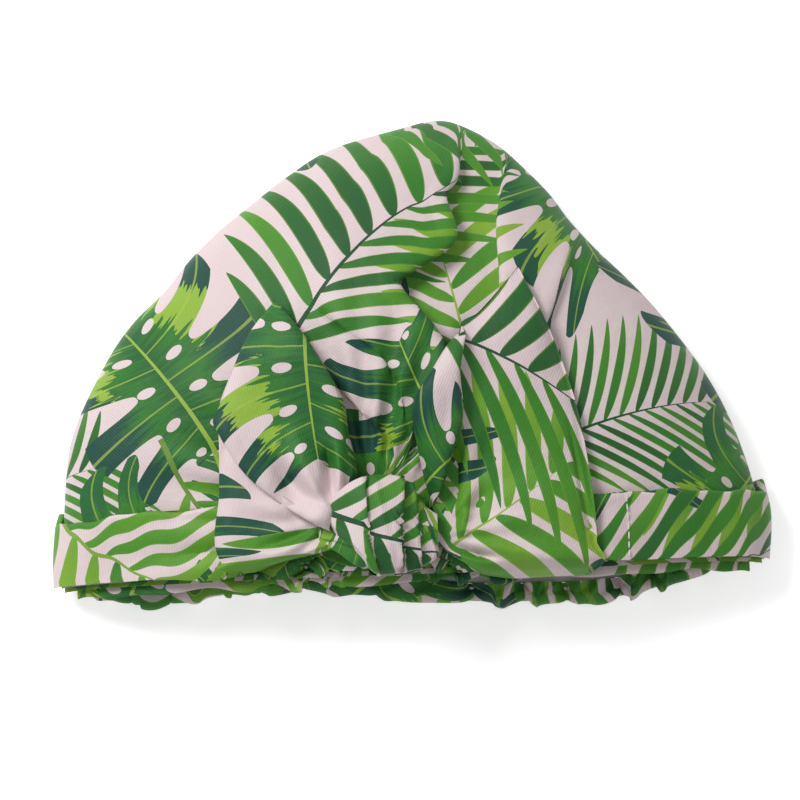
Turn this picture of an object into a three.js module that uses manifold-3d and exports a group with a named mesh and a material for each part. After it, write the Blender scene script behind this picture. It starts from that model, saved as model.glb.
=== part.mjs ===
import * as THREE from "three";
import { ParametricGeometry } from "three/addons/geometries/ParametricGeometry.js";
import { mergeVertices } from "three/addons/utils/BufferGeometryUtils.js";
import Module from "manifold-3d";

// A turban shower cap, lying on its back with its bow up. Millimetres.
// +X runs across the cap, +Y from the hem to the top of the crown, +Z up from the table.

const wasm = await Module();
wasm.setup();

const { clamp, degToRad, lerp, smoothstep } = THREE.MathUtils;
const touchGap = 0.4; // left between two layers of cloth that touch
const stitchedGap = 0.6; // left where a curved strip is sewn on
const cutOverrun = 60; // how far a cutting block runs past what it cuts

const leafGreen = 0x4f8f3a;
const deepGreen = 0x2f6b4c;
const palePink = 0xe6d3d6;
const filmWhite = 0xf2eeee;
const elasticWhite = 0xf4f2ee;

// Crown: one printed sheet, pleated into the front hem and gathered at the back.
const crownWidth = 281;
const crownLength = 188.5;
const hemY = -86;
const crownCloth = 1.0;
const sideFoldHeight = 9;
const topFoldHeight = 8;
const crownRise = 39; // of the front layer above the side folds, in mid-cap
const hemRiseShare = 0.72; // what is left of that rise at the front hem
const hemRiseReachShare = 0.38;
const archFullness = 0.8;
const apexShift = 18;
const leftSag = 3.5;
const outlineFullness = 1.85;
const outlineTaper = 0.69;
const backFlatnessShare = 2.2; // how soon the back layer comes down to the table
const rearHemRiseHeight = 9; // how far the rear hem is drawn up at the side folds
const rearHemLeftRise = 6; // how much further it is drawn up left of the knot
const rearHemLeftShares = [-0.07, 0.3]; // of half the width, between which that rise sets in
const rearHemRoundnessShare = 0.6; // how soon it comes down again beside a fold
const rearHemFadeShare = 6; // how soon the draw ends up the back
const apexLeanShare = 9; // only the very top leans
const frontTopRoundnessShare = 3.4;
const backTopRoundnessShare = 12;
const crownAround = 46;
const crownFrontAround = 34;
const crownRings = 13;
const ringCrowding = 0.65; // how much closer the rings are at the hem and the top

// Pleats: the front layer steps down on the left of each edge. Places are shares of half the
// crown's width and of its length, and heights between which a pleat deepens and fades of its length.
const pleats = [
  {
    edgeShares: [
      [0.185, 0.966], [0.167, 0.844], [0.125, 0.794], [0.149, 0.706], [-0.014, 0.599],
      [0.028, 0.536], [0.107, 0.414], [0.043, 0.318], [-0.050, 0.202],
    ],
    drop: 12,
    footShare: 0.21,
    deepShare: 0.42,
    fadingShare: 0.86,
    fadedShare: 1.02,
  },
  {
    edgeShares: [
      [-0.043, 0.202], [0.114, 0.318], [0.256, 0.467], [0.278, 0.594], [0.275, 0.743],
      [0.313, 0.902],
    ],
    drop: 9,
    footShare: 0.22,
    deepShare: 0.42,
    fadingShare: 0.77,
    fadedShare: 0.93,
  },
  {
    edgeShares: [
      [0.598, 0.785], [0.498, 0.690], [0.406, 0.520], [0.270, 0.361], [0.057, 0.191],
    ],
    drop: 5,
    footShare: 0.22,
    deepShare: 0.48,
    fadingShare: 0.83,
    fadedShare: 1.01,
  },
];
const pleatSoftness = 12; // how wide each step is
const pleatTopFadeShare = 0.75; // what of it has faded at the top
const pleatSideFadeShare = 0.7; // the arch's share under which a pleat fades towards the side folds
const ridge = { turn: -13, over: 11, by: 6 }; // the fullness left of the pleats, fanning out of the knot
const ridgeStart = 26;
const ridgeFull = 92;
const ridgeFade = 112;
const ridgeEnd = 165;

// Lining: a waterproof film inside the crown.
const liningFilm = 0.6;

// Cuff: a strip folded double along its top edge, standing on the front hem.
const cuffHeight = 31;
const cuffDrop = 0.8; // of the cuff's lower edge under the hem
const cuffEase = 1.6; // how much wider it is cut than the hem
const cuffCloth = 0.9;
const cuffSlot = 0.8; // between the two plies
const cuffLevels = 4; // section points up each face

// Facing: the front hem's own turning, inside the lining.
const facingHeight = 12;
const facingCloth = 0.9;
const facingSideShare = 0.94;
const facingSteps = crownFrontAround;

// Rear casing: the back hem turned over and ruffled on its elastic.
const casingDepth = 10;
const casingHeight = 5.6;
const casingCloth = 1.0;
const ruffleCount = 19;
const ruffleHeight = 1.1;
const ruffleDepth = 0.9;
const broadRuffleShare = 0.5; // every few ruffles one rises higher, by this share
const broadRuffleCount = 6;
const broadRufflePhaseShare = 1;
const casingFlatEndShare = 0.2;
const casingSideShare = 0.95;
const casingSteps = 95;

// Elastic: a flat woven band, loose in the casing.
const elasticWidth = 4.6;
const elasticThickness = 1.3;
const elasticSteps = 40;

// Knot: a short strip wrapped round the middle of the tie.
const knotX = -12;
const knotY = -68;
const wrapLength = 40; // along Y
const wrapHeight = 22;
const wrapCloth = 2.2;
const wrapLeft = 21.5; // from the knot's centre to each side of the strip
const wrapRight = 19;
const wrapTaperShare = 0.12;
const wrapFoldX = 8; // from the knot's centre to where the second turn tucks under the first
const wrapFoldStep = 1.6;
const wrapOuterShare = 0.5; // the strip's outer face, as a share of its own length
const wrapInnerShare = 0.46; // nearer the middle than this nothing is tapered or tucked
const wrapPoints = 17;
const wrapSteps = 12;

// Tie: the gathered middle inside the wrap, and two pointed tails.
const tieEndHeight = 7;
const tieFluteCount = 9;
const tieFlute = 1.1;
const tieReach = 40;
const tieEndShare = 0.2; // where along each hinge line the tie's end lies
const tieEndLengthShare = 0.8; // its length there, of what it has in the wrap
const tieGatherShare = 0.5; // its flutes inside the wrap, of those outside
const tiePoints = 2 * wrapPoints;
const tieSteps = 14;
const tailThickness = 8.6;
const tailRootThickness = 6.4;
const tailClearance = 2.1; // over the cap below
const hingeRadius = 4.3;
const hingeGap = 0.4;
const hingeSides = 24;
const hingeFlatReach = 9;
const hingeBlendReach = 26;
const hingeChecks = 12; // places along a hinge line where it is kept clear of the cap
const tailPoints = 46;
const tailRings = 9;
const tailEdgeFullness = 0.75; // under 1 keeps a tail thick nearer its edge

// Where each tail bends, from the knot's centre, and its outline as shares of its own box.
const leftTail = {
  name: "bow_tail_left",
  width: 53,
  length: 105,
  cornerX: -63.2,
  cornerY: -17,
  hingeFoot: new THREE.Vector2(-33, -10),
  hingeHead: new THREE.Vector2(-15, 46),
  side: -1,
  outlineShares: [
    [0.789, 0.057], [0.325, 0.000], [0.042, 0.010], [0.000, 0.105], [0.015, 0.333],
    [0.034, 0.571], [0.209, 0.833], [0.375, 0.944], [0.489, 1.000], [0.608, 0.952],
    [0.868, 0.784], [0.953, 0.631], [0.996, 0.444], [1.002, 0.370], [0.957, 0.289],
    [0.875, 0.181],
  ],
  foldFoot: new THREE.Vector2(-14, -6),
  foldHead: new THREE.Vector2(-62, 43),
  foldStep: 2.4,
};
const rightTail = {
  name: "bow_tail_right",
  width: 70,
  length: 121,
  cornerX: 14,
  cornerY: -22.3,
  hingeFoot: new THREE.Vector2(28, -12),
  hingeHead: new THREE.Vector2(16, 54),
  side: 1,
  outlineShares: [
    [0.103, 0.201], [0.136, 0.114], [0.286, 0.077], [0.400, 0.031], [0.557, 0.001],
    [0.786, 0.004], [0.976, 0.019], [0.997, 0.110], [0.999, 0.238], [0.971, 0.391],
    [0.914, 0.564], [0.817, 0.776], [0.746, 0.907], [0.629, 0.999], [0.483, 0.924],
    [0.339, 0.829], [0.181, 0.734], [0.071, 0.647], [0.006, 0.548], [0.004, 0.432],
    [0.021, 0.333], [0.057, 0.250],
  ],
  foldFoot: new THREE.Vector2(40, 28),
  foldHead: new THREE.Vector2(24, 58),
  foldStep: 2.4,
};
const foldSoftness = 6; // how wide the step at a tail's fold is

// Shared ways of making a closed solid.

// A geometry as one closed surface with its vertices shared and its faces pointing out.
function closed(geometry) {
  const bare = new THREE.BufferGeometry();
  bare.setAttribute("position", geometry.getAttribute("position"));
  bare.setIndex(geometry.index);
  const merged = mergeVertices(bare, 1e-3);
  const at = (i) => new THREE.Vector3().fromBufferAttribute(merged.getAttribute("position"), i);
  const faces = merged.index.array;
  const kept = [];
  let volume = 0;
  for (let i = 0; i < faces.length; i += 3) {
    const [a, b, c] = [faces[i], faces[i + 1], faces[i + 2]];
    if (a === b || b === c || c === a) continue;
    kept.push(a, b, c);
    volume += at(a).dot(at(b).cross(at(c)));
  }
  if (volume < 0) {
    for (let i = 0; i < kept.length; i += 3) {
      [kept[i + 1], kept[i + 2]] = [kept[i + 2], kept[i + 1]];
    }
  }
  merged.setIndex(kept);
  return merged;
}

// Moves each vertex of a geometry to the place worked out from where it was.
function warp(geometry, place) {
  const position = geometry.getAttribute("position");
  const point = new THREE.Vector3();
  for (let i = 0; i < position.count; i++) {
    point.fromBufferAttribute(position, i);
    const moved = place(point.x, point.y, point.z);
    position.setXYZ(i, moved.x, moved.y, moved.z);
  }
  return closed(geometry);
}

// A flat section carried along a path of unit length in many steps.
function strip(section, steps, place, curveSegments = 2) {
  const geometry = new THREE.ExtrudeGeometry(section, {
    depth: 1,
    steps,
    curveSegments,
    bevelEnabled: false,
  });
  return warp(geometry, place);
}

function solidOf(geometry) {
  return new wasm.Manifold(
    new wasm.Mesh({
      numProp: 3,
      vertProperties: new Float32Array(geometry.getAttribute("position").array),
      triVerts: new Uint32Array(geometry.index.array),
    }),
  );
}

function geometryOf(solid) {
  const mesh = solid.getMesh();
  const geometry = new THREE.BufferGeometry();
  geometry.setAttribute("position", new THREE.BufferAttribute(mesh.vertProperties, 3));
  geometry.setIndex(new THREE.BufferAttribute(mesh.triVerts, 1));
  return geometry;
}

function largestPiece(solid) {
  return solid.decompose().reduce((best, s) => (s.volume() > best.volume() ? s : best));
}

function piece(name, geometry, color) {
  const material = new THREE.MeshStandardMaterial({ color, roughness: 0.6, metalness: 0 });
  const mesh = new THREE.Mesh(geometry, material);
  mesh.name = name;
  return mesh;
}

// The crown's outer surface. Height share 0 is the hem and 1 the top.

function heightShare(y) {
  return clamp((y - hemY) / crownLength, 0, 1);
}

function halfWidthAt(h) {
  return (crownWidth / 2) * (1 - h ** outlineFullness) ** outlineTaper;
}

function leanAt(h) {
  return apexShift * h ** apexLeanShare - leftSag * Math.sin(Math.PI * h);
}

function foldHeightAt(h) {
  return lerp(sideFoldHeight, topFoldHeight, h);
}

function riseAt(h) {
  return crownRise * lerp(hemRiseShare, 1, smoothstep(h, 0, hemRiseReachShare));
}

// How far a place lies to the left of an edge, on the way from its first point to its last.
function leftOf(edgeShares, x, y) {
  const points = edgeShares.map(([across, up]) => [(across * crownWidth) / 2, hemY + up * crownLength]);
  let nearest = Infinity;
  let side = 0;
  for (let i = 0; i + 1 < points.length; i++) {
    const [ax, ay] = points[i];
    const [bx, by] = points[i + 1];
    const [dx, dy] = [bx - ax, by - ay];
    const share = ((x - ax) * dx + (y - ay) * dy) / (dx * dx + dy * dy);
    const on = clamp(share, i === 0 ? -Infinity : 0, i + 2 === points.length ? Infinity : 1);
    const apart = Math.hypot(x - ax - on * dx, y - ay - on * dy);
    if (apart >= nearest) continue;
    nearest = apart;
    side = Math.sign(dx * (y - ay) - dy * (x - ax));
  }
  return side * nearest;
}

function ridgeAt(x, y) {
  const reach = Math.hypot(x - knotX, y - knotY);
  const turn = Math.atan2(x - knotX, y - knotY);
  const strength = smoothstep(reach, ridgeStart, ridgeFull) * (1 - smoothstep(reach, ridgeFade, ridgeEnd));
  const from = degToRad(ridge.turn - ridge.over / 2);
  const to = degToRad(ridge.turn + ridge.over / 2);
  return ridge.by * smoothstep(turn, from, to) * strength;
}

function pleatAt(x, y) {
  const h = heightShare(y);
  let relief = 0;
  for (const pleat of pleats) {
    const faded = 1 - pleatTopFadeShare * smoothstep(h, pleat.fadingShare, pleat.fadedShare);
    const under = smoothstep(leftOf(pleat.edgeShares, x, y), -pleatSoftness / 2, pleatSoftness / 2);
    relief += pleat.drop * (0.5 - under) * smoothstep(h, pleat.footShare, pleat.deepShare) * faded;
  }
  return relief;
}

function crownFrontZ(x, y) {
  const h = heightShare(y);
  const across = clamp((x - leanAt(h)) / Math.max(halfWidthAt(h), crownCloth), -1, 1);
  const arch = (1 - across * across) ** (archFullness / 2) * Math.sqrt(1 - h ** frontTopRoundnessShare);
  const pleated = pleatAt(x, y) * smoothstep(arch, 0, pleatSideFadeShare);
  return foldHeightAt(h) + (riseAt(h) + ridgeAt(x, y) + pleated) * arch;
}

// Turn 0 is the right side fold, a half turn the left one, and the front layer lies between them.
function crownPoint(turn, h) {
  const across = Math.cos(turn);
  const x = leanAt(h) + halfWidthAt(h) * across;
  const y = hemY + crownLength * h;
  if (Math.sin(turn) >= 0) return new THREE.Vector3(x, y, crownFrontZ(x, y));
  const under = -Math.sin(turn);
  const leftRise = rearHemLeftRise * smoothstep(-across, ...rearHemLeftShares);
  const drawn = rearHemRiseHeight * (1 - under ** rearHemRoundnessShare) + leftRise;
  const lift = drawn * (1 - h) ** rearHemFadeShare;
  const flatness = backFlatnessShare * Math.sqrt(1 - h ** backTopRoundnessShare);
  const z = Math.max(0, foldHeightAt(h) * (1 - flatness * under));
  return new THREE.Vector3(x, y + lift, z);
}

// The same point moved off the surface along the normal of the facets around it.
function crownOffset(turn, h, away) {
  const turnStep = Math.PI / crownFrontAround;
  const upStep = 1 / (2 * crownRings);
  const inside = clamp(h, upStep, 1 - upStep);
  const across = crownPoint(turn + turnStep, inside).sub(crownPoint(turn - turnStep, inside));
  const up = crownPoint(turn, inside + upStep).sub(crownPoint(turn, inside - upStep));
  const normal = up.cross(across).normalize();
  if (h === 1) normal.set(0, 1, 0);
  return crownPoint(turn, h).addScaledVector(normal, away);
}

// The turn at a share of the front layer, spread evenly enough to carry the pleats.
function frontTurn(share) {
  const across = (Math.cos(Math.PI * share) + (1 - 2 * share)) / 2;
  return Math.acos(clamp(across, -1, 1));
}

// Steps round a whole ring: the front layer takes more of them than the back.
function ringTurn(step) {
  if (step <= crownFrontAround) return frontTurn(step / crownFrontAround);
  return Math.PI * (1 + (step - crownFrontAround) / (crownAround - crownFrontAround));
}

// Rings are closer together at the hem and at the top than in between.
function ringHeight(share) {
  return lerp(share, (1 - Math.cos(Math.PI * share)) / 2, ringCrowding);
}

// A wall between two offsets of the crown's surface, closed at the top and open at the hem.
function crownWall(outer, inner) {
  const rows = 2 * crownRings + 1;
  const place = (u, v, target) => {
    const row = Math.round(v * rows);
    const turn = ringTurn(Math.round(u * crownAround) % crownAround);
    const onOuter = row <= crownRings;
    const up = onOuter ? 1 - row / crownRings : (row - crownRings - 1) / crownRings;
    target.copy(crownOffset(turn, ringHeight(up), onOuter ? outer : inner));
  };
  const geometry = new ParametricGeometry(place, crownAround, rows);
  // Both layers of the wall are split along the same diagonals, so that they stay parallel.
  const corners = geometry.index.array;
  for (let i = 6 * crownAround * (crownRings + 1); i < corners.length; i += 6) {
    const [a, b, d, , c] = corners.subarray(i, i + 6);
    corners.set([a, b, c, a, c, d], i);
  }
  return closed(geometry);
}

const liningOuter = -crownCloth - touchGap;
const liningInner = liningOuter - liningFilm;

// Strips that follow the hem. Their section is (up from the edge, away from the crown).

function rectangle(low, high, near, far) {
  const shape = new THREE.Shape();
  shape.moveTo(low, near);
  shape.lineTo(high, near);
  shape.lineTo(high, far);
  shape.lineTo(low, far);
  shape.closePath();
  return shape;
}

// Two plies joined by a fold at one end, seen from the end of the strip.
function foldedSection(open, fold, near, far, cloth, levels) {
  const shape = new THREE.Shape();
  const face = (from, to, away) => {
    for (let i = 0; i <= levels; i++) shape.lineTo(lerp(from, to, i / levels), away);
  };
  shape.moveTo(open, near);
  face(open, fold - cloth, near);
  shape.quadraticCurveTo(fold, near, fold, (near + far) / 2);
  shape.quadraticCurveTo(fold, far, fold - cloth, far);
  face(fold - cloth, open, far);
  face(open, fold - 2 * cloth, far - cloth);
  face(fold - 2 * cloth, open, near + cloth);
  shape.closePath();
  return shape;
}

// A place over the front hem: along runs from the right side fold to the left one.
function frontPlace(up, away, along, sideShare, ease) {
  const turn = Math.acos(Math.cos(frontTurn(along)) * sideShare);
  const h = Math.max(up, 0) / crownLength;
  const point = crownOffset(turn, h, away);
  return point.set(point.x * (1 + ease / crownWidth), point.y + Math.min(up, 0), point.z);
}

const cuffThickness = 2 * cuffCloth + cuffSlot;
const cuffSection = foldedSection(
  -cuffDrop, cuffHeight - cuffDrop, stitchedGap, stitchedGap + cuffThickness, cuffCloth, cuffLevels,
);
const cuff = strip(cuffSection, crownFrontAround, (up, away, along) =>
  frontPlace(up, away, along, 1, cuffEase),
);

const facingOuter = liningInner - stitchedGap;
const facingSection = rectangle(0, facingHeight, facingOuter - facingCloth, facingOuter);
const facing = strip(facingSection, facingSteps, (up, away, along) =>
  frontPlace(up, away, along, facingSideShare, 0),
);

// A place behind the rear hem: back runs away from the crown, and up from the table.
function rearPlace(back, up, along, sideShare) {
  const turn = 2 * Math.PI - Math.acos(clamp(Math.cos(Math.PI * along) * sideShare, -1, 1));
  const edge = crownPoint(turn, 0);
  return new THREE.Vector3(edge.x, edge.y - stitchedGap - back, edge.z + up);
}

function ruffleAt(along) {
  const even = Math.sin(2 * Math.PI * ruffleCount * along);
  const broad = Math.sin(2 * Math.PI * broadRuffleCount * along + broadRufflePhaseShare);
  return even + broadRuffleShare * broad;
}

const casingSection = foldedSection(0, casingDepth, 0, casingHeight, casingCloth, 1);
const casing = strip(casingSection, casingSteps, (back, up, along) => {
  const ends = smoothstep(Math.sin(Math.PI * along), 0, casingFlatEndShare);
  const ruffle = ruffleAt(along) * ends;
  const raised = up > casingHeight / 2 ? ruffleHeight * ruffle : 0;
  const pushed = ruffleDepth * ruffle * (back / casingDepth);
  return rearPlace(back + pushed, up + raised, along, casingSideShare);
});

const elasticLow = casingCloth + touchGap;
const elasticStart = (casingDepth - 2 * casingCloth - elasticWidth) / 2;
const elasticSection = rectangle(
  elasticStart, elasticStart + elasticWidth, elasticLow, elasticLow + elasticThickness,
);
const elastic = strip(elasticSection, elasticSteps, (back, up, along) =>
  rearPlace(back, up, along, casingSideShare * casingSideShare),
);

// The bow's own heights, worked out from what lies under it.

// Top of the cap without the bow: the crown, and the cuff that stands on it near the hem.
function capTopZ(x, y) {
  const cuffTop = hemY - cuffDrop + cuffHeight;
  const onCuff = 1 - smoothstep(y, cuffTop + touchGap, cuffTop + 3 * cuffThickness);
  return crownFrontZ(x, y) + (stitchedGap + cuffThickness) * onCuff;
}

const wrapBottomZ = capTopZ(knotX, knotY + wrapLength / 2) + touchGap;
const wrapMiddleZ = wrapBottomZ + wrapHeight / 2;
const boreLength = wrapLength - 2 * wrapCloth;
const boreHeight = wrapHeight - 2 * wrapCloth;
const tieLength = boreLength - 2 * touchGap;
const tieHeight = boreHeight - 2 * touchGap;

// Knot wrap: a ring of cloth, its bore along X.

function oval(length, height) {
  const shape = new THREE.Shape();
  shape.absellipse(0, 0, length / 2, height / 2, 0, 2 * Math.PI, false, 0);
  return shape;
}

// Carries a section that lies in Y and Z along X through the knot.
function throughKnot(lengthwise, upright, along) {
  const x = lerp(-wrapLeft, wrapRight, along);
  const tucked = smoothstep(x, wrapFoldX - wrapFoldStep / 2, wrapFoldX + wrapFoldStep / 2);
  const radius = Math.hypot(lengthwise / wrapLength, upright / wrapHeight);
  const outside = smoothstep(radius, wrapInnerShare, wrapOuterShare);
  const shrink = (2 * wrapFoldStep * tucked * outside) / wrapLength;
  const ends = wrapTaperShare * (2 * along - 1) ** 2 * outside;
  const kept = 1 - shrink - ends * (wrapCloth / wrapHeight);
  return new THREE.Vector3(knotX + x, knotY + lengthwise * kept, wrapMiddleZ + upright * kept);
}

const wrapRing = oval(wrapLength, wrapHeight);
wrapRing.holes.push(oval(boreLength, boreHeight));
const wrap = strip(wrapRing, wrapSteps, throughKnot, wrapPoints);

// Tails: pillows of cloth that taper to a point, bent at a hinge line beside the knot.

// The hinge line of a tail, with the ways to measure from it.
function hingeOf(tail) {
  const foot = tail.hingeFoot.clone().add(new THREE.Vector2(knotX, knotY));
  const head = tail.hingeHead.clone().add(new THREE.Vector2(knotX, knotY));
  const span = head.clone().sub(foot);
  const along = span.clone().normalize();
  const out = new THREE.Vector2(along.y, -along.x).multiplyScalar(tail.side);
  const overAt = (share) => {
    const on = foot.clone().addScaledVector(span, share);
    const beside = [-hingeRadius, 0, hingeRadius].map((d) => on.clone().addScaledVector(out, d));
    return Math.max(...beside.map((p) => capTopZ(p.x, p.y))) + hingeRadius + touchGap;
  };
  let footZ = overAt(0);
  let headZ = overAt(1);
  for (let i = 1; i < hingeChecks; i++) {
    const short = overAt(i / hingeChecks) - lerp(footZ, headZ, i / hingeChecks);
    footZ += Math.max(0, short);
    headZ += Math.max(0, short);
  }
  return { foot, span, along, out, footZ, headZ, side: tail.side };
}

// How far over its fold line a point of a tail lies, to the fold's left seen from its foot.
function pastFold(tail, x, y) {
  const line = tail.foldHead.clone().sub(tail.foldFoot).normalize();
  const from = new THREE.Vector2(x - knotX, y - knotY).sub(tail.foldFoot);
  return line.cross(from);
}

function tailPlace(tail, hinge, x, y, skin) {
  const from = new THREE.Vector2(x, y).sub(hinge.foot);
  const share = from.dot(hinge.along) / hinge.span.length();
  const away = Math.abs(from.dot(hinge.out));
  const open = smoothstep(away, hingeFlatReach, hingeBlendReach);
  const half = lerp(tailRootThickness, tailThickness, open) / 2;
  const straight = lerp(hinge.footZ, hinge.headZ, share);
  const draped = capTopZ(x, y) + tailClearance + half;
  const middle = Math.max(lerp(straight, draped, open), draped);
  const folded = smoothstep(pastFold(tail, x, y), -foldSoftness / 2, foldSoftness / 2);
  const relief = tail.foldStep * folded * open * Math.max(0, skin);
  return new THREE.Vector3(x, y, middle + half * skin + relief);
}

// A lens profile turned through a full circle, then drawn out to the tail's outline.
function pillow(tail, hinge) {
  const profile = [];
  for (let i = 0; i <= 2 * tailRings; i++) {
    const angle = Math.PI * (0.5 - i / (2 * tailRings));
    profile.push(new THREE.Vector2(Math.max(0, Math.cos(angle)) ** tailEdgeFullness, Math.sin(angle)));
  }
  const corner = new THREE.Vector2(knotX + tail.cornerX, knotY + tail.cornerY);
  const points = tail.outlineShares.map(
    ([across, up]) => new THREE.Vector3(corner.x + across * tail.width, corner.y + up * tail.length, 0),
  );
  const outline = new THREE.CatmullRomCurve3(points, true);
  const centre = new THREE.Vector3();
  points.forEach((p) => centre.addScaledVector(p, 1 / points.length));
  return warp(new THREE.LatheGeometry(profile, tailPoints), (px, skin, pz) => {
    const reach = Math.hypot(px, pz);
    const share = (Math.atan2(px, pz) / (2 * Math.PI) + 1) % 1;
    const edge = outline.getPoint(share);
    return tailPlace(tail, hinge, lerp(centre.x, edge.x, reach), lerp(centre.y, edge.y, reach), skin);
  });
}

// The space on the tail's side of its hinge line, with a round nose of the given radius along that line.
// With room to lift, it also takes the space over the nose that the turning tail sweeps.
function hingeSide(hinge, radius, roomToLift) {
  const foot = new THREE.Vector3(hinge.foot.x, hinge.foot.y, hinge.footZ);
  const head = foot.clone().add(new THREE.Vector3(hinge.span.x, hinge.span.y, hinge.headZ - hinge.footZ));
  const along = head.clone().sub(foot).normalize();
  const out = new THREE.Vector3(hinge.out.x, hinge.out.y, 0).normalize();
  const up = new THREE.Vector3().crossVectors(out, along).multiplyScalar(hinge.side).normalize();
  const size = foot.distanceTo(head) + 2 * cutOverrun;
  const frame = new THREE.Matrix4().makeBasis(out, along, up);
  frame.setPosition(foot.add(head).multiplyScalar(0.5));
  const reach = 2 * cutOverrun;
  const parts = [
    new THREE.BoxGeometry(reach, size, reach).translate(reach / 2, 0, 0),
    new THREE.CylinderGeometry(radius, radius, size, hingeSides),
  ];
  if (roomToLift) {
    parts.push(new THREE.BoxGeometry(reach, size, reach).translate(reach / 2 - radius, 0, reach / 2));
  }
  return parts.map((g) => solidOf(closed(g.applyMatrix4(frame)))).reduce((all, g) => all.add(g));
}

// Tie middle: the gathered cloth inside the wrap, running out to both hinge lines.

function tieMiddle(leftHinge, rightHinge) {
  const profile = [new THREE.Vector2(0, -1)];
  for (let i = 0; i <= tieSteps; i++) profile.push(new THREE.Vector2(1, (2 * i) / tieSteps - 1));
  profile.push(new THREE.Vector2(0, 1));
  const endZ = (hinge) => lerp(hinge.footZ, hinge.headZ, tieEndShare);
  return warp(new THREE.LatheGeometry(profile, tiePoints), (a, along, b) => {
    const out = smoothstep(Math.abs(along) * tieReach, Math.max(wrapLeft, wrapRight), tieReach);
    const round = Math.atan2(a, b);
    const flute = tieFlute * (Math.cos(tieFluteCount * round) - 1) * lerp(tieGatherShare, 1, out);
    const radius = Math.hypot(a, b);
    const half = lerp(tieLength, tieLength * tieEndLengthShare, out) / 2 + flute / 2;
    const thick = lerp(tieHeight, tieEndHeight, out) / 2 + flute / 2;
    const end = endZ(along < 0 ? leftHinge : rightHinge);
    const middle = lerp(wrapMiddleZ, end, out);
    return new THREE.Vector3(
      knotX + along * tieReach,
      knotY + radius * Math.sin(round) * half,
      middle + radius * Math.cos(round) * thick,
    );
  });
}

function makeBow() {
  const tails = [leftTail, rightTail];
  const hinges = tails.map(hingeOf);
  const whole = tails.map((tail, i) => solidOf(pillow(tail, hinges[i])));
  const noses = hinges.map((hinge) => hingeSide(hinge, hingeRadius, false));
  const rooms = hinges.map((hinge) => hingeSide(hinge, hingeRadius + hingeGap, true));
  const flaps = whole.map((tail, i) => largestPiece(tail.intersect(noses[i])));
  const roomForWrap = (lengthwise, upright, along) => {
    const x = knotX + lerp(-wrapLeft - touchGap, wrapRight + touchGap, along);
    return new THREE.Vector3(x, knotY + lengthwise, wrapMiddleZ + upright);
  };
  const wrapOutside = oval(wrapLength + 2 * touchGap, wrapHeight + 2 * touchGap);
  const clearOfWrap = solidOf(strip(wrapOutside, 1, roomForWrap, wrapPoints));
  let middle = solidOf(tieMiddle(...hinges));
  for (const tail of whole) middle = middle.add(tail.subtract(clearOfWrap));
  for (const room of rooms) middle = middle.subtract(room);
  return { middle: largestPiece(middle), flaps, rooms, hinges };
}

const bow = makeBow();
let trimmedWrap = solidOf(wrap);
for (const room of bow.rooms) trimmedWrap = trimmedWrap.subtract(room);

// The whole cap.

const bowGroup = new THREE.Group();
bowGroup.add(
  piece("knot_wrap", geometryOf(largestPiece(trimmedWrap)), leafGreen),
  piece("bow_tie_middle", geometryOf(bow.middle), palePink),
  piece(leftTail.name, geometryOf(bow.flaps[0]), leafGreen),
  piece(rightTail.name, geometryOf(bow.flaps[1]), deepGreen),
);

const cap = new THREE.Group();
cap.add(
  piece("crown_shell", crownWall(0, -crownCloth), palePink),
  piece("crown_lining", crownWall(liningOuter, liningInner), filmWhite),
  piece("front_cuff", cuff, leafGreen),
  piece("front_hem_facing", facing, palePink),
  piece("rear_casing", casing, deepGreen),
  piece("rear_elastic", elastic, elasticWhite),
  bowGroup,
);

export default cap;
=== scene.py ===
"""A turban shower cap laid flat with its bow up. Sizes are in millimetres, and meshes in metres."""

import math

import bmesh
import bpy
import numpy as np
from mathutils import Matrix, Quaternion, Vector


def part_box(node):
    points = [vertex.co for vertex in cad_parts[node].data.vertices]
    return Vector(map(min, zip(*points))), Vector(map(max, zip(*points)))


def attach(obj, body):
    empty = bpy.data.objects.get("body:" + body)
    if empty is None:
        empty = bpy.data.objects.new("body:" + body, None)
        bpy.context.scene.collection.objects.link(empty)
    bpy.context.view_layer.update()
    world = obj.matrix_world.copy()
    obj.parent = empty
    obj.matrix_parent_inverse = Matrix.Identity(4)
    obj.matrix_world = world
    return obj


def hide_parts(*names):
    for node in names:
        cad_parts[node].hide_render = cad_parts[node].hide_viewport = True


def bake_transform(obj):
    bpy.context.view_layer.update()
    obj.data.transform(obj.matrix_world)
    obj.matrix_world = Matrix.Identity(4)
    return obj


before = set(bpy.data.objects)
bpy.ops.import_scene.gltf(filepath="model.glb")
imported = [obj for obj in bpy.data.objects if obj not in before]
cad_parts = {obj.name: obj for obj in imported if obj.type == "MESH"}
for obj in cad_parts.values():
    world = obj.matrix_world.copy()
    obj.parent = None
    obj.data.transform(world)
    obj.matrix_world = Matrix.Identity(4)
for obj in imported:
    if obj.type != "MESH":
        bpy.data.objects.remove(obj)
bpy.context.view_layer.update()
mm = 0.001

# Camera. It looks down on the cap from above its hem, a little rolled, through a long lens, as in
# the photograph.
photo_span = 315.3  # what the photograph's width takes in, at the height of the cloth
camera_elevation = math.radians(80)
camera_roll = math.radians(-2)
camera_reach = 1100
looked_at = Vector((-2.6, -16.3, 30)) * mm
camera = bpy.data.objects.new("camera", bpy.data.cameras.new("camera"))
bpy.context.scene.collection.objects.link(camera)
away = Vector((0, -math.cos(camera_elevation), math.sin(camera_elevation)))
camera.location = looked_at + away * camera_reach * mm
camera.rotation_mode = "QUATERNION"
camera.rotation_quaternion = (-away).to_track_quat("-Z", "Y") @ Quaternion((0, 0, 1), camera_roll)
camera.data.lens = camera.data.sensor_width * camera_reach / photo_span
camera.data.clip_start = 0.05
camera.data.clip_end = 20
bpy.context.scene.camera = camera


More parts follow.
